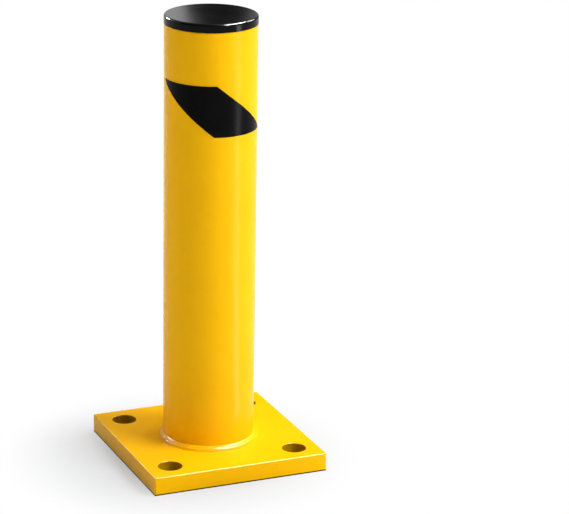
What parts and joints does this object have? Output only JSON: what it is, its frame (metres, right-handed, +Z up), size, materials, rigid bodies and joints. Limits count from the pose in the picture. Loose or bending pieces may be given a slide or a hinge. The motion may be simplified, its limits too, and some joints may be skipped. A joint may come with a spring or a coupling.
{
  "type": "steel bollard",
  "caption": "Short round steel bollard on a square bolt-down foot plate, with a push-in end cap and a slanted warning stripe.",
  "frame": {"origin": "centre of the foot plate's underside", "axes": "+Z up the tube, +X and +Y along the plate's sides; the stripe faces between -Y and -X"},
  "size_m": [0.2032, 0.2032, 0.5028],
  "materials": {
    "yellow_coat": "gloss powder coat",
    "black_vinyl": "satin vinyl film",
    "black_plastic": "gloss moulded plastic"
  },
  "bodies": {
    "post": {"base_plate": "yellow_coat", "post_tube": "yellow_coat", "foot_weld": "yellow_coat", "stripe_decal": "black_vinyl"},
    "cap": {"end_cap": "black_plastic"}
  },
  "joints": [
    {"name": "cap_lift", "type": "slide", "parent": "post", "child": "cap", "axis": [0, 0, 1], "range_m": [0, 0.036]}
  ]
}
